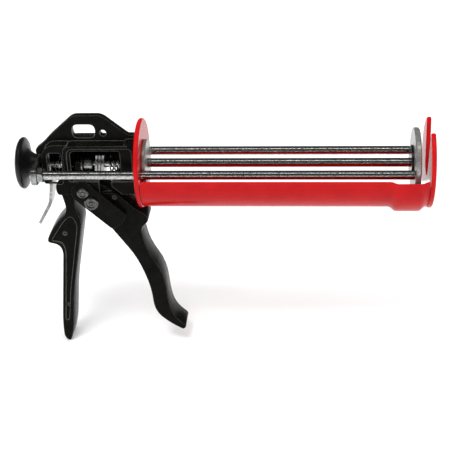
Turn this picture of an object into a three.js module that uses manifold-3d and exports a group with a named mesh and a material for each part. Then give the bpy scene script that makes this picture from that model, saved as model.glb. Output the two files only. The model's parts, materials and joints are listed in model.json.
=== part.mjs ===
// Coaxial cartridge caulking gun. Millimetres, +X toward the nozzle, +Z up.
// The origin is the centre of the plunger disc's front face with the rods pushed fully forward.
import * as THREE from 'three';
import { mergeVertices } from 'three/addons/utils/BufferGeometryUtils.js';
import Module from 'manifold-3d';

const wasm = await Module();
wasm.setup();
const { Manifold, Mesh } = wasm;

// ---- driving dimensions ----
const GAP = 0.3;
const ROD_R = 3.5;
const ROD_HOLE_R = 4.0;
const SIDE_ROD_Y = 23;
const DISC_R = 27;
const DISC_T = 4.5;
const HUB_R = 13.5;
const HUB_T = 1.6;
const PLATE_X = 6.3;
const PLATE_T = 3.5;
const PLATE_R = 35;
const SLOT_R = 10;
const FLANGE_FRONT_X = -212.4;
const FLANGE_T = 3.7;
const FLANGE_R = 35;
const GUIDE_R = 18.5;
const GUIDE_T = 2.8;
const TRAY_R = 34.3;
const TRAY_T = 2;
const TRAY_FLARE = 3.5;
const TRAY_NEAR_DEG = 88;
const TRAY_FAR_DEG = -32;
const BODY_Y = 14;
const BODY_TOP = 20;
const BODY_BOTTOM = -22;
const BLOCK_REAR_X = -225.4;
const BLOCK_FRONT_X = -216.4;
const BLOCK_TOP = 21.5;
const BODY_SKIN = 2.5;
const RECESS = 1.2;
const LUG_REAR_X = -237;
const PIVOT = [-260, -18.5];
const RIVET = [-254, -27.5];
const ARM_Y = 14.3;
const ARM_T = 2;
const YOKE_X = -296.2;
const YOKE_T = 4.5;
const YOKE_Y = 30;
const YOKE_Z = 7;
const KNOB_R = 20.5;
const GRIP_Y = 11;
const PANEL_DEPTH = 1.1;
const GRIP_BOSSES = [[-279.5, -58], [-282.5, -125]];
const TRIGGER_Y = 11;
const TRIGGER_BOSS = [-236.5, -25];
const WEB_Y = 7.5;

// ---- shape helpers ----

// Turn a closed three.js geometry into a manifold body, faces outward.
function solid(geometry) {
  const bare = new THREE.BufferGeometry();
  bare.setAttribute('position', geometry.getAttribute('position').clone());
  if (geometry.index) bare.setIndex(geometry.index.clone());
  const merged = mergeVertices(bare, 1e-4);
  const vertProperties = new Float32Array(merged.getAttribute('position').array);
  const triVerts = [];
  const ids = merged.index.array;
  for (let i = 0; i < ids.length; i += 3) {
    const [a, b, c] = [ids[i], ids[i + 1], ids[i + 2]];
    if (a !== b && b !== c && a !== c) triVerts.push(a, b, c);
  }
  if (signedVolume(vertProperties, triVerts) < 0) triVerts.reverse();
  return new Manifold(new Mesh({ numProp: 3, vertProperties, triVerts: new Uint32Array(triVerts) }));
}

function signedVolume(v, tris) {
  let sum = 0;
  for (let i = 0; i < tris.length; i += 3) {
    const [a, b, c] = [tris[i] * 3, tris[i + 1] * 3, tris[i + 2] * 3];
    sum += v[a] * (v[b + 1] * v[c + 2] - v[b + 2] * v[c + 1]);
    sum += v[a + 1] * (v[b + 2] * v[c] - v[b] * v[c + 2]);
    sum += v[a + 2] * (v[b] * v[c + 1] - v[b + 1] * v[c]);
  }
  return sum;
}

function toMesh(name, body, colour, roughness, metalness) {
  const m = body.getMesh();
  const geometry = new THREE.BufferGeometry();
  const pos = new Float32Array(m.numVert * 3);
  for (let i = 0; i < m.numVert; i += 1) {
    for (let k = 0; k < 3; k += 1) pos[i * 3 + k] = m.vertProperties[i * m.numProp + k];
  }
  geometry.setAttribute('position', new THREE.BufferAttribute(pos, 3));
  geometry.setIndex(Array.from(m.triVerts));
  geometry.computeVertexNormals();
  const material = new THREE.MeshStandardMaterial({ color: colour, roughness, metalness });
  const mesh = new THREE.Mesh(geometry, material);
  mesh.name = name;
  return mesh;
}

// A THREE.Shape through corners [a, b, radius]; the radius rounds that corner.
function outline(corners) {
  const shape = new THREE.Shape();
  const n = corners.length;
  corners.forEach(([x, y, r = 0], i) => {
    const here = new THREE.Vector2(x, y);
    const before = new THREE.Vector2(...corners[(i + n - 1) % n]);
    const after = new THREE.Vector2(...corners[(i + 1) % n]);
    const start = stepToward(here, before, r);
    const end = stepToward(here, after, r);
    if (i === 0) shape.moveTo(start.x, start.y);
    else shape.lineTo(start.x, start.y);
    if (r > 0) shape.quadraticCurveTo(x, y, end.x, end.y);
  });
  shape.closePath();
  return shape;
}

function stepToward(from, to, distance) {
  const step = Math.min(distance, from.distanceTo(to) * 0.48);
  return from.clone().add(to.clone().sub(from).normalize().multiplyScalar(step));
}

function extrude(shape, depth, bevel, curveSegments) {
  return new THREE.ExtrudeGeometry(shape, {
    depth: depth - 2 * bevel,
    bevelEnabled: bevel > 0,
    bevelThickness: bevel,
    bevelSize: bevel,
    bevelOffset: -bevel,
    bevelSegments: 2,
    curveSegments,
  });
}

// Side-view outline (x, z) extruded across the gun from y0 to y1.
function sidePlate(shape, y0, y1, bevel = 0, curveSegments = 4) {
  const g = extrude(shape, y1 - y0, bevel, curveSegments);
  g.rotateX(Math.PI / 2);
  g.translate(0, y1 - bevel, 0);
  return solid(g);
}

// End-view outline (y, z) extruded along the gun from x0 to x1.
function endPlate(shape, x0, x1, bevel = 0, curveSegments = 4) {
  const g = extrude(shape, x1 - x0, bevel, curveSegments);
  const basis = new THREE.Matrix4().makeBasis(
    new THREE.Vector3(0, 1, 0),
    new THREE.Vector3(0, 0, 1),
    new THREE.Vector3(1, 0, 0),
  );
  g.applyMatrix4(basis);
  g.translate(x0 + bevel, 0, 0);
  return solid(g);
}

function box(x0, x1, y0, y1, z0, z1) {
  const g = new THREE.BoxGeometry(x1 - x0, y1 - y0, z1 - z0);
  g.translate((x0 + x1) / 2, (y0 + y1) / 2, (z0 + z1) / 2);
  return solid(g);
}

// Round bar along X.
function barX(x0, x1, r, y = 0, z = 0, segments = 24) {
  const g = new THREE.CylinderGeometry(r, r, x1 - x0, segments);
  g.rotateZ(Math.PI / 2);
  g.translate((x0 + x1) / 2, y, z);
  return solid(g);
}

// Round bar across the gun.
function barY(y0, y1, r, x, z, segments = 24) {
  const g = new THREE.CylinderGeometry(r, r, y1 - y0, segments);
  g.translate(x, (y0 + y1) / 2, z);
  return solid(g);
}

// Turned body about X from [x, r] points; starts and ends on the axis or closes.
function turnedX(points, segments = 40) {
  const profile = points.map(([x, r]) => new THREE.Vector2(r, x));
  const g = new THREE.LatheGeometry(profile, segments);
  g.rotateZ(-Math.PI / 2);
  return solid(g);
}

// Turned body about a cross pin, [y, r] points on the axis (x, z).
function turnedY(points, x, z, segments = 32) {
  const profile = points.map(([y, r]) => new THREE.Vector2(r, y));
  const g = new THREE.LatheGeometry(profile, segments);
  g.translate(x, 0, z);
  return solid(g);
}

class Helix extends THREE.Curve {
  constructor(x0, x1, radius, turns) {
    super();
    Object.assign(this, { x0, x1, radius, turns });
  }

  getPoint(t, target = new THREE.Vector3()) {
    const a = t * this.turns * 2 * Math.PI;
    const x = this.x0 + (this.x1 - this.x0) * t;
    return target.set(x, this.radius * Math.cos(a), this.radius * Math.sin(a));
  }
}

// Coil spring about X; x0 and x1 are the outer faces of the wire.
function coil(x0, x1, radius, wire, turns) {
  const section = new THREE.Shape();
  section.absarc(0, 0, wire, 0, 2 * Math.PI);
  const g = new THREE.ExtrudeGeometry(section, {
    steps: Math.round(turns * 12),
    curveSegments: 3,
    bevelEnabled: false,
    extrudePath: new Helix(x0 + wire, x1 - wire, radius, turns),
  });
  return solid(g);
}

function cutAll(body, tools) {
  return tools.reduce((left, tool) => left.subtract(tool), body);
}

function joinAll(bodies) {
  return bodies.reduce((sum, body) => sum.add(body));
}

// ---- cradle ----

function trayShell() {
  const r = TRAY_R;
  const x0 = FLANGE_FRONT_X + GAP;
  const x1 = PLATE_X - GAP;
  const outer = [
    [x0, r], [-23.5, r], [-21.5, r + 0.7], [-19, r + TRAY_FLARE - 0.5], [-17, r + TRAY_FLARE],
    [-1, r + TRAY_FLARE], [1, r + TRAY_FLARE - 0.5], [3.4, r + 0.9], [5, r], [x1, r],
  ];
  const inner = outer.map(([x, radius]) => [x, radius - TRAY_T]).reverse();
  const ring = turnedX([...outer, ...inner, outer[0]], 72);
  return ring.intersect(traySector());
}

// Wedge seen along X that keeps the arc of the tray; angles from straight down, + toward -Y.
function traySector() {
  const shape = new THREE.Shape();
  shape.moveTo(0, 0);
  for (let d = TRAY_FAR_DEG; d <= TRAY_NEAR_DEG; d += 15) {
    const a = THREE.MathUtils.degToRad(d);
    shape.lineTo(-60 * Math.sin(a), -60 * Math.cos(a));
  }
  shape.closePath();
  return endPlate(shape, FLANGE_FRONT_X - 1, PLATE_X + 1);
}

function rearFlange() {
  const x0 = FLANGE_FRONT_X - FLANGE_T;
  const x1 = FLANGE_FRONT_X;
  const r = FLANGE_R;
  const plate = turnedX([
    [x0, 0], [x0, r - 0.9], [x0 + 0.9, r], [x1 - 0.9, r], [x1, r - 0.9], [x1, 0],
  ], 72);
  return cutAll(plate, rodHoles(x0 - 1, x1 + 1));
}

function rodHoles(x0, x1) {
  return [0, SIDE_ROD_Y, -SIDE_ROD_Y].map((y) => barX(x0, x1, ROD_HOLE_R, y));
}

function guideDisc() {
  const x0 = FLANGE_FRONT_X + GAP;
  const x1 = x0 + GUIDE_T;
  const r = GUIDE_R;
  const disc = turnedX([
    [x0, 0], [x0, r], [x1 - 1, r], [x1 - 0.3, r - 0.4], [x1, r - 1.2], [x1, 0],
  ], 56);
  return cutAll(disc, rodHoles(x0 - 1, x1 + 1));
}

function frontPlate() {
  const x0 = PLATE_X;
  const x1 = PLATE_X + PLATE_T;
  const r = PLATE_R;
  const plate = turnedX([
    [x0, 0], [x0, r - 0.8], [x0 + 0.8, r], [x1 - 0.8, r], [x1, r - 0.8], [x1, 0],
  ], 72);
  return cutAll(plate, [nozzleSlot(), sideNotch()]);
}

// U-shaped slot open at the top; its foot is a half circle about the axis.
function nozzleSlot() {
  const shape = new THREE.Shape();
  shape.moveTo(SLOT_R, 0);
  shape.lineTo(14.6, 27.5);
  shape.quadraticCurveTo(15.6, 31, 24, 42);
  shape.lineTo(-24, 42);
  shape.quadraticCurveTo(-15.6, 31, -14.6, 27.5);
  shape.lineTo(-SLOT_R, 0);
  shape.absarc(0, 0, SLOT_R, Math.PI, 2 * Math.PI);
  return endPlate(shape, PLATE_X - 1, PLATE_X + PLATE_T + 1, 0, 24);
}

// Narrow notch below the nozzle seat, open toward the far rim.
function sideNotch() {
  const shape = outline([[-19, -18.5, 2], [40, -18.5], [40, -13.1], [-19, -13.1, 2]]);
  const g = extrude(shape, PLATE_T + 2, 0, 5);
  g.rotateZ(THREE.MathUtils.degToRad(-28));
  g.applyMatrix4(new THREE.Matrix4().makeBasis(
    new THREE.Vector3(0, 1, 0),
    new THREE.Vector3(0, 0, 1),
    new THREE.Vector3(1, 0, 0),
  ));
  g.translate(PLATE_X - 1, 0, 0);
  return solid(g);
}

// ---- plunger and rods ----

function plungerDisc() {
  const r = DISC_R;
  return turnedX([
    [-DISC_T, 0], [-DISC_T, r - 0.9], [-DISC_T + 0.9, r], [-0.9, r], [0, r - 0.9], [0, 0],
  ], 56);
}

function plungerHub() {
  const x1 = -DISC_T - GAP;
  const x0 = x1 - HUB_T;
  const hub = turnedX([[x0, 0], [x0, HUB_R - 0.6], [x0 + 0.6, HUB_R], [x1, HUB_R], [x1, 0]], 48);
  return hub.subtract(barX(x0 - 1, x1 + 1, ROD_R + GAP));
}

function driveRod() {
  return barX(YOKE_X - 6, -DISC_T - GAP, ROD_R);
}

function sideRod(y) {
  return barX(YOKE_X - 1.5, -DISC_T - GAP, ROD_R, y);
}

function yokeBar() {
  const w = YOKE_Y;
  const h = YOKE_Z;
  const shape = outline([[-w, -h, 5], [w, -h, 5], [w, h, 5], [-w, h, 5]]);
  const bar = endPlate(shape, YOKE_X, YOKE_X + YOKE_T, 0.6);
  const holes = [0, SIDE_ROD_Y, -SIDE_ROD_Y].map(
    (y) => barX(YOKE_X - 1, YOKE_X + YOKE_T + 1, ROD_R + GAP, y),
  );
  return cutAll(bar, holes);
}

// Hexagon nut on a side rod, in front of the yoke bar.
function yokeNut(y) {
  const x0 = YOKE_X + YOKE_T + GAP;
  const hex = new THREE.CylinderGeometry(6.2, 6.2, 4, 6);
  hex.rotateZ(Math.PI / 2);
  hex.translate(x0 + 2, y, 0);
  const crown = turnedX([[x0, 0], [x0, 6.3], [x0 + 3.3, 6.3], [x0 + 4, 5.3], [x0 + 4, 0]], 32);
  const shifted = crown.translate([0, y, 0]);
  return solid(hex).intersect(shifted).subtract(barX(x0 - 1, x0 + 5, ROD_R + GAP, y));
}

function knob() {
  const x1 = YOKE_X - GAP;
  const body = turnedX([
    [x1, 0], [x1, 7], [-299.5, 7.6], [-302.5, 9.6], [-304.6, 13.2], [-305.8, 17.6],
    [-306.4, KNOB_R - 1.2], [-307.2, KNOB_R - 0.2], [-308.4, KNOB_R], [-309.8, KNOB_R - 0.7],
    [-311, KNOB_R - 2.8], [-312.2, 12], [-312.8, 0],
  ], 56);
  return body.subtract(barX(YOKE_X - 6 - GAP, x1 + 1, ROD_R + GAP));
}

// ---- housing ----

function housing() {
  const inside = BODY_Y - BODY_SKIN;
  const solids = [
    hillPlate(),
    sidePlate(bodyOutline(), -BODY_Y, BODY_Y, 1.2),
    rearSection(),
    frontBlock(),
  ];
  return cutAll(joinAll(solids), [
    box(-271, BLOCK_REAR_X, -inside, inside, BODY_BOTTOM - 6, 17.5),
    sidePlate(windowOutline(), -BODY_Y - 1, -inside + 0.5),
    sidePlate(windowRecess(), -BODY_Y - 1, RECESS - BODY_Y),
    sidePlate(windowRecess(), BODY_Y - RECESS, BODY_Y + 1),
    box(-247, LUG_REAR_X, -BODY_Y - 1, BODY_Y + 1, BODY_BOTTOM - 1, -9),
    sidePlate(lugCorner(), -BODY_Y - 1, BODY_Y + 1),
    box(-288.4, -273.5, -9.6, 9.6, -13, 17),
    sidePlate(outline([[-286.5, -12, 2], [-275, -12, 2], [-275, 13.5, 3], [-286.5, 13.5, 3]]), -20, -9),
    box(-288.4, -281.2, -9.6, 9.6, -30, 0),
    barX(-300, -270, ROD_HOLE_R + 0.4),
    barX(BLOCK_REAR_X - 1, BLOCK_FRONT_X + 1, ROD_HOLE_R + 0.4),
    barY(-20, 20, 3.6, ...PIVOT),
  ]);
}

function bodyOutline() {
  return outline([
    [-281, BODY_BOTTOM, 3], [-282, -15, 3], [-279.5, -9, 2], [-273.5, -6], [-273.5, BODY_TOP, 7],
    [-223, BODY_TOP], [-223, BODY_BOTTOM + 0.5],
  ]);
}

// Opening in the near wall that shows the drive mechanism.
function windowOutline() {
  return outline([[-268, -9, 2], [-229, -9, 2], [-229, 15.5, 3], [-268, 15.5, 4]]);
}

// Shallow step around the window, cast in both side walls.
function windowRecess() {
  return outline([[-270.5, -10, 2], [-220, -10, 2], [-220, 17.5, 3], [-270.5, 17.5, 6]]);
}

// Bevelled lower corner of the lug in front of the trigger.
function lugCorner() {
  return outline([[LUG_REAR_X - 1, -13], [-226, BODY_BOTTOM - 2], [LUG_REAR_X - 1, BODY_BOTTOM - 2]]);
}

// Upright web along the middle with the hanging slot and a small hole.
function hillPlate() {
  const shape = outline([
    [-218.5, 12], [-218.5, 24.5], [-223, 24.5, 3], [-243, 41, 4], [-265.5, 41, 4], [-284, 25, 6],
    [-290, 18.5, 4], [-297, 13, 2], [-297, 8.5, 2], [-288.5, 8.5], [-280, 4], [-240, 4],
  ]);
  return cutAll(sidePlate(shape, -3, 3, 0.6), [hangSlot(), barY(-5, 5, 2.6, -242.5, 26.5)]);
}

function hangSlot() {
  const shape = outline([
    [-266.5, 22.5, 5], [-248.5, 22.5, 5], [-248.5, 33.5, 5], [-266.5, 33.5, 5],
  ]);
  return sidePlate(shape, -5, 5, 0, 6);
}

function rearSection() {
  const shape = outline([
    [-290.8, -13, 2], [-270, -13], [-270, BODY_TOP], [-284, BODY_TOP, 4], [-290.8, 14, 5],
  ]);
  return sidePlate(shape, -12, 12, 1);
}

function frontBlock() {
  const w = BODY_Y;
  const shape = outline([
    [-w, BODY_BOTTOM + 0.5, 3], [w, BODY_BOTTOM + 0.5, 3], [w, BLOCK_TOP, 5], [-w, BLOCK_TOP, 5],
  ]);
  return endPlate(shape, BLOCK_REAR_X, BLOCK_FRONT_X, 1);
}

// ---- grip ----

function grip() {
  const body = sidePlate(gripOutline(), -GRIP_Y, GRIP_Y, 0.8);
  const panels = cutAll(body, [
    sidePlate(gripPanel(), -GRIP_Y - 1, PANEL_DEPTH - GRIP_Y),
    sidePlate(gripPanel(), GRIP_Y - PANEL_DEPTH, GRIP_Y + 1),
  ]);
  return joinAll([panels, ...GRIP_BOSSES.map(([x, z]) => sideBoss(x, z, GRIP_Y - PANEL_DEPTH))]);
}

// Pair of small cupped round bosses, standing on both flat sides at y = +floor and -floor.
function sideBoss(x, z, floor) {
  const top = floor + 0.8;
  const half = [[top - 0.4, 0], [top - 0.4, 0.9], [top, 1.1], [top, 1.6], [floor, 1.9]];
  const other = half.map(([y, r]) => [-y, r]).reverse();
  return turnedY([...half, ...other], x, z, 20);
}

function gripOutline() {
  return outline([
    [-278.5, -22.5], [-276, -33.5, 5], [-277, -40, 5], [-286, -49, 4],
    [-292.5, -59, 4], [-295, -66, 4], [-286, -67.5, 4], [-282.5, -73.5, 5],
    [-290, -142, 8], [-290, -158, 5], [-284.5, -161.5, 4], [-281, -147, 4],
    [-277, -110, 12], [-264.5, -47, 5], [-268.5, -36, 5], [-268.5, -22.5],
  ]);
}

// Recessed side panel, a few millimetres inside the outline.
function gripPanel() {
  return outline([
    [-272.5, -41, 4], [-268.5, -50, 5], [-280, -110, 10], [-284, -140, 2],
    [-287, -140, 2], [-280, -74, 5], [-282, -66, 3], [-291, -64, 2], [-279, -46, 5],
  ]);
}

// ---- trigger ----

function triggerCasting() {
  const web = sidePlate(triggerWeb(), -WEB_Y, WEB_Y, 0.8);
  const blade = sidePlate(triggerBlade(), -TRIGGER_Y, TRIGGER_Y, 1.1);
  const boss = sideBoss(...TRIGGER_BOSS, TRIGGER_Y - 0.4);
  const fork = box(-270, -250, -ROD_HOLE_R - 0.4, ROD_HOLE_R + 0.4, -6, 8);
  return cutAll(joinAll([web, blade, boss]), [
    fork,
    barY(-20, 20, 3.6, ...PIVOT),
    barY(-20, 20, 3.3, ...RIVET),
  ]);
}

function triggerWeb() {
  return outline([
    [-266, 4.2, 1.8], [-262.2, 4.2, 1.8], [-262.2, -9.8, 1.5], [-254.5, -11, 5], [-240, -19.5, 6],
    [-226, -30], [-226, -50], [-242, -51], [-262, -28, 6], [-268.5, -19, 6], [-266.5, -10, 2],
  ]);
}

// Spur at the top, then a long blade that sweeps forward to its toe; wide radii blend the sweep.
function triggerBlade() {
  return outline([
    [-247, -21, 4], [-235, -21, 4], [-220, -36, 5], [-212, -40.5, 5],
    [-210.5, -46.5, 5], [-217.5, -52.5, 4], [-213.5, -74, 20], [-201, -94, 20],
    [-199, -124, 20], [-194.5, -136, 8], [-185, -145, 2.5], [-187.5, -149, 2.5],
    [-200, -141.5, 8], [-211.5, -130, 14], [-212.5, -108, 20], [-222, -80, 20],
    [-236, -60, 10], [-242.5, -50.5, 4], [-248.5, -34, 5],
  ]);
}

function triggerArm(side) {
  const y0 = side < 0 ? -ARM_Y - ARM_T : ARM_Y;
  const shape = new THREE.Shape();
  shape.moveTo(-254, -12);
  shape.lineTo(-227.5, -38);
  shape.quadraticCurveTo(-229.5, -46.5, -238.5, -50);
  shape.lineTo(-240.5, -49.5);
  shape.lineTo(-266, -25.5);
  shape.absarc(PIVOT[0], PIVOT[1], 9.2, -2.3, 0.82, true);
  shape.closePath();
  return cutAll(sidePlate(shape, y0, y0 + ARM_T, 0.4, 12), [
    barY(-20, 20, 3.6, ...PIVOT),
    barY(-20, 20, 3.3, ...RIVET),
  ]);
}

// Shouldered tubular rivet that joins both arm plates to the trigger casting.
function armRivet() {
  const inner = ARM_Y - GAP;
  const outer = ARM_Y + ARM_T + GAP;
  const half = [
    [outer + 1.4, 3.6], [outer + 1.4, 5], [outer + 0.5, 5.8], [outer, 5.8], [outer, 3],
    [inner, 3], [inner, 5], [WEB_Y + GAP, 5], [WEB_Y + GAP, 3],
  ];
  const other = half.map(([y, r]) => [-y, r]).reverse();
  const cup = outer + 0.4;
  const dome = [[cup + 0.7, 0], [cup + 0.5, 1.4], [cup, 1.9], [cup, 3.6]];
  const otherDome = dome.map(([y, r]) => [-y, r]).reverse();
  return turnedY([...dome, ...half, ...other, ...otherDome], ...RIVET);
}

function pivotPin() {
  const outer = ARM_Y + ARM_T + GAP;
  const tip = outer + 1.3;
  const half = [
    [tip, 0], [tip, 1.3], [tip - 0.6, 1.7], [tip - 0.6, 2.6], [tip, 3], [tip, 3.8],
    [outer + 0.5, 4.7], [outer, 4.7], [outer, 3.2],
  ];
  return turnedY([...half, ...half.map(([y, r]) => [-y, r]).reverse()], ...PIVOT);
}

// ---- drive mechanism on the centre rod ----

function pushRing() {
  const r = ROD_R + GAP;
  return turnedX([
    [-261.8, r], [-261.8, 8.6], [-260.6, 9.2], [-259.9, 8.6], [-259.9, r], [-261.8, r],
  ], 32);
}

function driveSleeve() {
  const r = ROD_R + GAP;
  return turnedX([
    [-259.6, r], [-259.6, 6.6], [-259, 7.2], [-253, 7.2], [-252.4, 6.6], [-252.4, r], [-259.6, r],
  ], 32);
}

// Steel gripping plate that bites the rod, leaning a little.
function grippingPlate(x) {
  const shape = outline([[-8.5, -11, 2], [8.5, -11, 2], [8.5, 11, 2], [-8.5, 11, 2]]);
  const plate = endPlate(shape, -1, 1, 0, 3).subtract(barX(-3, 3, 4));
  return plate.rotate([0, 7, 0]).translate([x, 0, 0]);
}

function driveSpring() {
  return coil(-241.2, BLOCK_REAR_X - GAP, 6.4, 0.65, 4);
}

// ---- release lever ----

function releaseLever() {
  const side = outline([
    [-287.6, 11.5, 1], [-285, 11.5, 1], [-285, -16, 6], [-288.5, -34, 4], [-299, -51.5, 0.6],
    [-301, -50.2, 0.6], [-291.2, -33.5, 4], [-287.6, -16, 6],
  ]);
  const width = new THREE.Shape();
  width.moveTo(-9, 13);
  width.lineTo(9, 13);
  width.lineTo(9, -9);
  width.quadraticCurveTo(8.6, -16, 5, -31);
  width.quadraticCurveTo(6, -38, 7.5, -45);
  width.quadraticCurveTo(7, -52, 4, -54);
  width.lineTo(-4, -54);
  width.quadraticCurveTo(-7, -52, -7.5, -45);
  width.quadraticCurveTo(-6, -38, -5, -31);
  width.quadraticCurveTo(-8.6, -16, -9, -9);
  width.closePath();
  const strip = sidePlate(side, -12, 12).intersect(endPlate(width, -310, -270));
  return strip.subtract(barX(-300, -270, ROD_HOLE_R + 0.3));
}

function brakeSpring() {
  return coil(-284.7, -273.8, 6.2, 0.6, 3);
}

// ---- assembly ----

const BLACK = 0x17181a;
const ZINC = 0xb9bcc0;
const CHROME = 0xd8dadd;
const RED = 0xb5161c;

function cradleGroup() {
  return [
    toMesh('cradle_tray', trayShell(), RED, 0.35, 0.1),
    toMesh('rear_flange', rearFlange(), RED, 0.35, 0.1),
    toMesh('front_plate', frontPlate(), RED, 0.35, 0.1),
    toMesh('guide_disc', guideDisc(), CHROME, 0.15, 1),
  ];
}

function bodyGroup() {
  return [
    toMesh('housing', housing(), BLACK, 0.45, 0.3),
    toMesh('grip', grip(), BLACK, 0.45, 0.3),
    toMesh('pivot_pin', pivotPin(), ZINC, 0.3, 1),
    toMesh('release_lever', releaseLever(), ZINC, 0.4, 1),
    toMesh('brake_spring', brakeSpring(), ZINC, 0.3, 1),
  ];
}

function triggerGroup() {
  return [
    toMesh('trigger', triggerCasting(), BLACK, 0.45, 0.3),
    toMesh('trigger_arm_near', triggerArm(-1), BLACK, 0.45, 0.3),
    toMesh('trigger_arm_far', triggerArm(1), BLACK, 0.45, 0.3),
    toMesh('arm_rivet', armRivet(), ZINC, 0.3, 1),
  ];
}

function driveGroup() {
  return [
    toMesh('push_ring', pushRing(), ZINC, 0.3, 1),
    toMesh('drive_sleeve', driveSleeve(), ZINC, 0.3, 1),
    toMesh('gripping_plate_rear', grippingPlate(-249.2), ZINC, 0.4, 1),
    toMesh('gripping_plate_middle', grippingPlate(-246.7), ZINC, 0.4, 1),
    toMesh('gripping_plate_front', grippingPlate(-244.2), ZINC, 0.4, 1),
    toMesh('drive_spring', driveSpring(), ZINC, 0.3, 1),
  ];
}

function plungerGroup() {
  return [
    toMesh('drive_rod', driveRod(), CHROME, 0.15, 1),
    toMesh('side_rod_near', sideRod(-SIDE_ROD_Y), CHROME, 0.15, 1),
    toMesh('side_rod_far', sideRod(SIDE_ROD_Y), CHROME, 0.15, 1),
    toMesh('plunger_disc', plungerDisc(), CHROME, 0.2, 1),
    toMesh('plunger_hub', plungerHub(), 0x3a3b3d, 0.6, 0.6),
    toMesh('yoke_bar', yokeBar(), ZINC, 0.35, 1),
    toMesh('yoke_nut_near', yokeNut(-SIDE_ROD_Y), ZINC, 0.3, 1),
    toMesh('yoke_nut_far', yokeNut(SIDE_ROD_Y), ZINC, 0.3, 1),
    toMesh('knob', knob(), 0x141415, 0.4, 0),
  ];
}

const gun = new THREE.Group();
gun.name = 'caulking_gun';
gun.add(...cradleGroup(), ...bodyGroup(), ...triggerGroup(), ...driveGroup(), ...plungerGroup());
export default gun;
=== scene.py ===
# Looks of the coaxial caulking gun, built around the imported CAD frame.
# Lengths are in metres, noise scales are per metre and colours are linear RGB.
import json
import math

import bmesh
import bpy
from mathutils import Euler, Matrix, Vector

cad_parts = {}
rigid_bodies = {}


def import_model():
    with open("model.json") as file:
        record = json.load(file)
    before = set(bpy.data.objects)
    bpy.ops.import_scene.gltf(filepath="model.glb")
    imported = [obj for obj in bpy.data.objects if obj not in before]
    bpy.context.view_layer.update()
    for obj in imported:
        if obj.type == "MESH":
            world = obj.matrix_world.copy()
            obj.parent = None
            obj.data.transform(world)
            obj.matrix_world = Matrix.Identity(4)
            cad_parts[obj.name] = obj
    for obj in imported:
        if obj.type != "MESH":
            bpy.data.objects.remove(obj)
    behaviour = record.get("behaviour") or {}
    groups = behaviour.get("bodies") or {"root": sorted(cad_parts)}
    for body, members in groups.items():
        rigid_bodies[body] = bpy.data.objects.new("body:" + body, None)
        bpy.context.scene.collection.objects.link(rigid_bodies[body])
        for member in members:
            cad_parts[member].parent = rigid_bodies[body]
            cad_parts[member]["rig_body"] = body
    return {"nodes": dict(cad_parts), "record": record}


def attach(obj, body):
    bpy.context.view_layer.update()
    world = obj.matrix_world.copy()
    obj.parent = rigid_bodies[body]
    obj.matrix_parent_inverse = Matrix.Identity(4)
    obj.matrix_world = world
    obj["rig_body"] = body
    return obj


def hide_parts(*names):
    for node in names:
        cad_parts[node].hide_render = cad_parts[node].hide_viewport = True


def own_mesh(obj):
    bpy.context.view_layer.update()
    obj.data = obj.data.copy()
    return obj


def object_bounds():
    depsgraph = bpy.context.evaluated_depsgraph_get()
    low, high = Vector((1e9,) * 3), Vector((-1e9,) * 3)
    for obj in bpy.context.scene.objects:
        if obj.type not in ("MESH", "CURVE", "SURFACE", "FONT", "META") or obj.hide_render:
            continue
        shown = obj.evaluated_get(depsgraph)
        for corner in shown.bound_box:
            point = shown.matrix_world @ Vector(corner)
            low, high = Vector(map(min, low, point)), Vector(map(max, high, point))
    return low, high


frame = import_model()
NODES = frame["nodes"]
CAD_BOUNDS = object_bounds()

# ---- camera: angles in degrees, lens in millimetres ----
CAMERA_AZIMUTH = 4.6
CAMERA_ELEVATION = 28.0
CAMERA_ROLL = 2.0
CAMERA_DISTANCE = 0.843
CAMERA_LENS = 83.1
CAMERA_CLIP = 0.01
CAMERA_TARGET = Vector((-0.1493, 0.0, -0.0569))

# ---- skins ----
WELD_DISTANCE = 2e-6
FLAT_ANGLE = math.radians(0.6)
EDGE_ANGLE = math.radians(32)
EDGE_ROLL = 0.0003
EDGE_SEGMENTS = 3

# ---- painted edge highlights ----
# The mask that places the painted highlights compares the bevelled normal with the real one by
# their dot product.
MASK_SAMPLES = 6
MASK_FULL = 0.82
MASK_NONE = 0.97

# ---- noise values between which a ramp runs ----
EVEN_STOPS = (0.3, 0.7)
LATE_STOPS = (0.3, 0.75)
TIGHT_STOPS = (0.32, 0.68)

# ---- paint, plastic and plating: (low, high) pairs follow the noise ----
RED_TONES = ((0.41, 0.004, 0.006), (0.48, 0.006, 0.008))
# Next: the lighter red painted along edges as a highlight, and how far from the edge it
# reaches.
RED_PAINTED_HIGHLIGHT = (0.66, 0.05, 0.045)
RED_HIGHLIGHT_RADIUS = 0.0005
RED_ROUGHNESS = (0.16, 0.26)
CAST_TONES = ((0.0025, 0.0025, 0.002), (0.006, 0.006, 0.005))
# Next: the light grey painted along edges as a highlight, and how far from the edge it reaches.
CAST_PAINTED_HIGHLIGHT = (0.17, 0.172, 0.16)
CAST_HIGHLIGHT_RADIUS = 0.0008
CAST_ROUGHNESS = (0.18, 0.34)
PLASTIC_TONES = ((0.004, 0.004, 0.004), (0.007, 0.007, 0.007))
PLASTIC_ROUGHNESS = (0.30, 0.40)
# Next: the near-white painted along plated edges as a highlight, and how far from the edge it
# reaches.
PLATED_PAINTED_HIGHLIGHT = (0.88, 0.88, 0.86)
PLATED_HIGHLIGHT_RADIUS = 0.0004
PLATED_NOISE_ROUGHNESS = 0.6
PLATED_GLOSS_FINENESS = 2.3
PLATED_DENT_FINENESS = 3.0
PLATED_DENT_DEPTH = 0.0001
PAINT_DENT_DEPTH = 0.0002

# ---- stage ----
SKY_FILL = 0.8
SKY_MIRRORED = 0.09
LIGHT_TARGET = Vector((-0.15, 0.0, -0.05))
FLOOR_GAP = 0.0005
FLOOR_REACH = 6.0
FLOOR_TONES = (0.86, 0.88)
FLOOR_ROUGHNESS = 0.8
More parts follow.
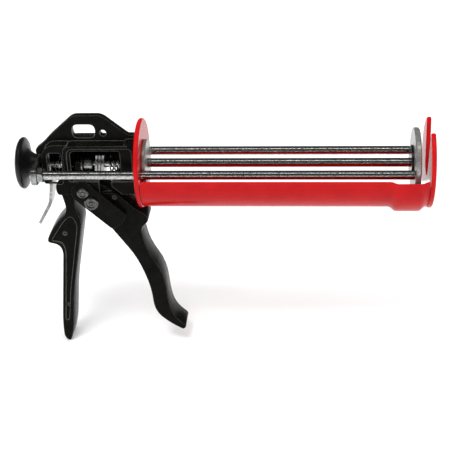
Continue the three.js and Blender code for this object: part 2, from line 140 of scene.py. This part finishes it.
# name: (centre, (width, height), power in watts, shows in glossy surfaces)
CARDS = {
    "key": ((-0.5, -0.6, 1.2), (0.6, 0.35), 11.0, False),
    "fill": ((0.8, -0.9, 0.5), (0.4, 0.4), 2.0, False),
    "back": ((0.1, 1.3, 1.0), (1.4, 0.4), 12.0, False),
    "strip": ((-0.15, -0.35, 1.2), (2.0, 0.14), 3.2, True),
    "low strip": ((-0.15, -1.2, 0.16), (2.2, 0.05), 0.9, True),
}


# ---- node helpers ----
def new_material(name):
    material = bpy.data.materials.new(name)
    material.use_nodes = True
    tree = material.node_tree
    shader = tree.nodes["Principled BSDF"]
    return material, tree, shader


def noise(tree, scale, detail=4.0, roughness=0.55):
    """Noise in object space."""
    coords = tree.nodes.new("ShaderNodeTexCoord")
    texture = tree.nodes.new("ShaderNodeTexNoise")
    texture.inputs["Scale"].default_value = scale
    texture.inputs["Detail"].default_value = detail
    texture.inputs["Roughness"].default_value = roughness
    tree.links.new(coords.outputs["Object"], texture.inputs["Vector"])
    return texture.outputs["Fac"]


def ramp(tree, factor, values, stops):
    """values[0] up to stops[0], values[1] from stops[1]; greys may be single numbers."""
    node = tree.nodes.new("ShaderNodeValToRGB")
    for element, position, value in zip(node.color_ramp.elements, stops, values):
        rgb = value if isinstance(value, tuple) else (value, value, value)
        element.position = position
        element.color = (*rgb, 1.0)
    tree.links.new(factor, node.inputs["Fac"])
    return node.outputs["Color"]


def bump(tree, shader, height, strength, distance=PAINT_DENT_DEPTH, normal=None):
    """Small dents on the shader's surface, laid over an earlier bump's normal if given."""
    node = tree.nodes.new("ShaderNodeBump")
    node.inputs["Strength"].default_value = strength
    node.inputs["Distance"].default_value = distance
    tree.links.new(height, node.inputs["Height"])
    if normal is not None:
        tree.links.new(normal, node.inputs["Normal"])
    tree.links.new(node.outputs["Normal"], shader.inputs["Normal"])
    return node.outputs["Normal"]


def painted_highlight_mask(tree, radius):
    """Where highlights are painted: 1 along edges and steps, 0 on open faces."""
    soft = tree.nodes.new("ShaderNodeBevel")
    soft.samples = MASK_SAMPLES
    soft.inputs["Radius"].default_value = radius
    face = tree.nodes.new("ShaderNodeNewGeometry")
    likeness = tree.nodes.new("ShaderNodeVectorMath")
    likeness.operation = "DOT_PRODUCT"
    tree.links.new(soft.outputs["Normal"], likeness.inputs[0])
    tree.links.new(face.outputs["Normal"], likeness.inputs[1])
    return ramp(tree, likeness.outputs["Value"], (1.0, 0.0), (MASK_FULL, MASK_NONE))


def blend(tree, factor, first, second):
    """The colour socket first, turning into the plain colour second."""
    node = tree.nodes.new("ShaderNodeMix")
    node.data_type = "RGBA"
    tree.links.new(factor, node.inputs["Factor"])
    tree.links.new(first, node.inputs["A"])
    node.inputs["B"].default_value = (*second, 1.0)
    return node.outputs["Result"]


# ---- materials ----
def red_paint():
    material, tree, shader = new_material("red_powder_coat")
    colour = ramp(tree, noise(tree, scale=60.0), RED_TONES, EVEN_STOPS)
    # Painted highlight: the base colour turns lighter red along edges and steps.
    colour = blend(tree, painted_highlight_mask(tree, RED_HIGHLIGHT_RADIUS), colour, RED_PAINTED_HIGHLIGHT)
    tree.links.new(colour, shader.inputs["Base Color"])
    gloss = ramp(tree, noise(tree, scale=900.0), RED_ROUGHNESS, LATE_STOPS)
    tree.links.new(gloss, shader.inputs["Roughness"])
    shader.inputs["IOR"].default_value = 1.28
    shader.inputs["Specular IOR Level"].default_value = 0.3
    bump(tree, shader, noise(tree, scale=420.0, detail=2.0), strength=0.12)
    return material


def black_paint():
    material, tree, shader = new_material("black_cast_paint")
    colour = ramp(tree, noise(tree, scale=160.0), CAST_TONES, LATE_STOPS)
    # Painted highlight: the base colour turns light grey along edges and steps.
    colour = blend(tree, painted_highlight_mask(tree, CAST_HIGHLIGHT_RADIUS), colour, CAST_PAINTED_HIGHLIGHT)
    tree.links.new(colour, shader.inputs["Base Color"])
    gloss = ramp(tree, noise(tree, scale=700.0), CAST_ROUGHNESS, LATE_STOPS)
    tree.links.new(gloss, shader.inputs["Roughness"])
    shader.inputs["IOR"].default_value = 1.3
    shader.inputs["Specular IOR Level"].default_value = 0.09
    fine = bump(tree, shader, noise(tree, scale=1500.0, detail=3.0), strength=0.16)
    bump(tree, shader, noise(tree, scale=260.0, detail=2.0), strength=0.10, normal=fine)
    return material


def plated(name, tones, rough, scale, strength=0.08, metal=1.0):
    """Speckled metal with painted highlights along its edges; tones and rough are (low, high)
    pairs.
    """
    grain = PLATED_NOISE_ROUGHNESS
    material, tree, shader = new_material(name)
    speckle = noise(tree, scale, detail=6.0, roughness=grain)
    colour = ramp(tree, speckle, tones, TIGHT_STOPS)
    # Painted highlight: the base colour turns near-white along edges and steps.
    colour = blend(tree, painted_highlight_mask(tree, PLATED_HIGHLIGHT_RADIUS), colour, PLATED_PAINTED_HIGHLIGHT)
    tree.links.new(colour, shader.inputs["Base Color"])
    wear = noise(tree, scale * PLATED_GLOSS_FINENESS, detail=5.0, roughness=grain)
    tree.links.new(ramp(tree, wear, rough, LATE_STOPS), shader.inputs["Roughness"])
    shader.inputs["Metallic"].default_value = metal
    dents = noise(tree, scale * PLATED_DENT_FINENESS, detail=4.0, roughness=grain)
    bump(tree, shader, dents, strength, PLATED_DENT_DEPTH)
    return material


def black_plastic():
    material, tree, shader = new_material("black_plastic")
    colour = ramp(tree, noise(tree, scale=90.0), PLASTIC_TONES, EVEN_STOPS)
    tree.links.new(colour, shader.inputs["Base Color"])
    gloss = ramp(tree, noise(tree, scale=500.0), PLASTIC_ROUGHNESS, LATE_STOPS)
    tree.links.new(gloss, shader.inputs["Roughness"])
    shader.inputs["Specular IOR Level"].default_value = 0.35
    bump(tree, shader, noise(tree, scale=900.0, detail=2.0), strength=0.05)
    return material


MATERIALS = {
    "red_paint": red_paint(),
    "black_paint": black_paint(),
    "rod_steel": plated(
        "polished_rod",
        tones=((0.14, 0.15, 0.14), (0.74, 0.75, 0.72)),
        rough=(0.05, 0.14),
        scale=900.0,
        strength=0.16,
    ),
    "zinc_steel": plated(
        "zinc_plate",
        tones=((0.17, 0.175, 0.175), (0.42, 0.43, 0.43)),
        rough=(0.18, 0.34),
        scale=420.0,
    ),
    "dark_steel": plated(
        "dark_washer",
        tones=((0.03, 0.03, 0.03), (0.16, 0.16, 0.155)),
        rough=(0.18, 0.3),
        scale=380.0,
    ),
    "black_plastic": black_plastic(),
}
# The two discs keep the slot rod_steel but look turned, not polished.
TURNED_FACE = plated(
    "turned_steel_face",
    tones=((0.28, 0.29, 0.28), (0.6, 0.61, 0.59)),
    rough=(0.28, 0.46),
    scale=700.0,
    strength=0.3,
    metal=0.78,
)
DISCS = ("plunger_disc", "guide_disc")
SLOTS = {part["node"]: part["material_slot"] for part in frame["record"]["subparts"]}


# ---- pieces ----
def refined(node, edge=EDGE_ROLL):
    """A welded copy of a CAD node with smooth round faces; edges are rolled if edge isn't 0."""
    source = NODES[node]
    bm = bmesh.new()
    bm.from_mesh(source.data)
    bmesh.ops.remove_doubles(bm, verts=bm.verts, dist=WELD_DISTANCE)
    bmesh.ops.dissolve_limit(bm, angle_limit=FLAT_ANGLE, verts=bm.verts, edges=bm.edges)
    mesh = bpy.data.meshes.new(node + "_skin")
    bm.to_mesh(mesh)
    bm.free()
    mesh.shade_smooth()
    mesh.set_sharp_from_angle(angle=EDGE_ANGLE)
    piece = bpy.data.objects.new(node + "_skin", mesh)
    bpy.context.scene.collection.objects.link(piece)
    if edge:
        rolled = piece.modifiers.new("rolled_edges", "BEVEL")
        rolled.width = edge
        rolled.segments = EDGE_SEGMENTS
        rolled.limit_method = "ANGLE"
        rolled.angle_limit = EDGE_ANGLE
        rolled.harden_normals = True
        rolled.use_clamp_overlap = True
    stand_for(piece, node)
    return piece


def stand_for(piece, node):
    """piece takes the place, body and finish of a CAD node."""
    piece.data.materials.clear()
    piece.data.materials.append(TURNED_FACE if node in DISCS else MATERIALS[SLOTS[node]])
    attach(piece, NODES[node]["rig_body"])
    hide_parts(node)


def spring(node, joint, travel):
    """A coil's skin without rolled edges, on a mesh of its own."""
    piece = refined(node, edge=0.0)
    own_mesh(piece)


def joint_row(name):
    rows = frame["record"]["behaviour"]["joints"]
    return next(row for row in rows if row["name"] == name)


def brake_travel():
    """How far the release lever moves along the rod, at the rod's height."""
    row = joint_row("release_press")
    return row["pos_m"][2] * math.sin(math.radians(row["range_deg"][1]))


COIL_TRAVEL = {
    "drive_spring": ("carriage_slide", joint_row("carriage_slide")["range_m"][1]),
    "brake_spring": ("release_press", brake_travel()),
}

for name in NODES:
    if name in COIL_TRAVEL:
        spring(name, *COIL_TRAVEL[name])
    else:
        refined(name)


# ---- stage ----
def card(name, centre, size, power, mirrored):
    """Soft light panel facing the gun; mirrored panels also show in glossy surfaces."""
    light = bpy.data.lights.new(name, "AREA")
    light.shape = "RECTANGLE"
    light.size, light.size_y = size
    light.energy = power
    holder = bpy.data.objects.new(name, light)
    bpy.context.scene.collection.objects.link(holder)
    holder.location = centre
    holder.rotation_euler = (LIGHT_TARGET - Vector(centre)).to_track_quat("-Z", "Y").to_euler()
    holder.visible_glossy = mirrored
    holder.visible_camera = False


def floor():
    """A wide pale square just under the gun."""
    low = CAD_BOUNDS[0].z - FLOOR_GAP
    reach = FLOOR_REACH
    corners = [(-reach, -reach), (reach, -reach), (reach, reach), (-reach, reach)]
    bm = bmesh.new()
    bm.faces.new([bm.verts.new((x, y, low)) for x, y in corners])
    mesh = bpy.data.meshes.new("floor")
    bm.to_mesh(mesh)
    bm.free()
    ground = bpy.data.objects.new("floor", mesh)
    bpy.context.scene.collection.objects.link(ground)
    material, tree, shader = new_material("pale_floor")
    tone = ramp(tree, noise(tree, scale=3.0), FLOOR_TONES, EVEN_STOPS)
    tree.links.new(tone, shader.inputs["Base Color"])
    shader.inputs["Roughness"].default_value = FLOOR_ROUGHNESS
    mesh.materials.append(material)
    return ground


def sky():
    """Even white fill for matt surfaces, much dimmer where it shows in reflections."""
    world = bpy.data.worlds.new("studio")
    bpy.context.scene.world = world
    world.use_nodes = True
    tree = world.node_tree
    ray = tree.nodes.new("ShaderNodeLightPath")
    tone = ramp(tree, ray.outputs["Is Glossy Ray"], (SKY_FILL, SKY_MIRRORED), (0.0, 1.0))
    tree.links.new(tone, tree.nodes["Background"].inputs["Color"])


def camera():
    """The photo's view: azimuth 0 looks along +Y, roll turns the picture."""
    azimuth = math.radians(CAMERA_AZIMUTH)
    elevation = math.radians(CAMERA_ELEVATION)
    back = Vector((
        math.sin(azimuth) * math.cos(elevation),
        -math.cos(azimuth) * math.cos(elevation),
        math.sin(elevation),
    ))
    data = bpy.data.cameras.new("camera")
    data.lens = CAMERA_LENS
    data.clip_start = CAMERA_CLIP
    holder = bpy.data.objects.new("camera", data)
    bpy.context.scene.collection.objects.link(holder)
    holder.rotation_mode = "QUATERNION"
    holder.location = CAMERA_TARGET + back * CAMERA_DISTANCE
    aim = (-back).to_track_quat("-Z", "Y")
    roll = Euler((0.0, 0.0, math.radians(-CAMERA_ROLL))).to_quaternion()
    holder.rotation_quaternion = aim @ roll
    bpy.context.scene.camera = holder


for name, row in CARDS.items():
    card(name, *row)
floor()
sky()
camera()
bpy.context.scene.view_settings.view_transform = "Standard"

bpy.context.view_layer.update()
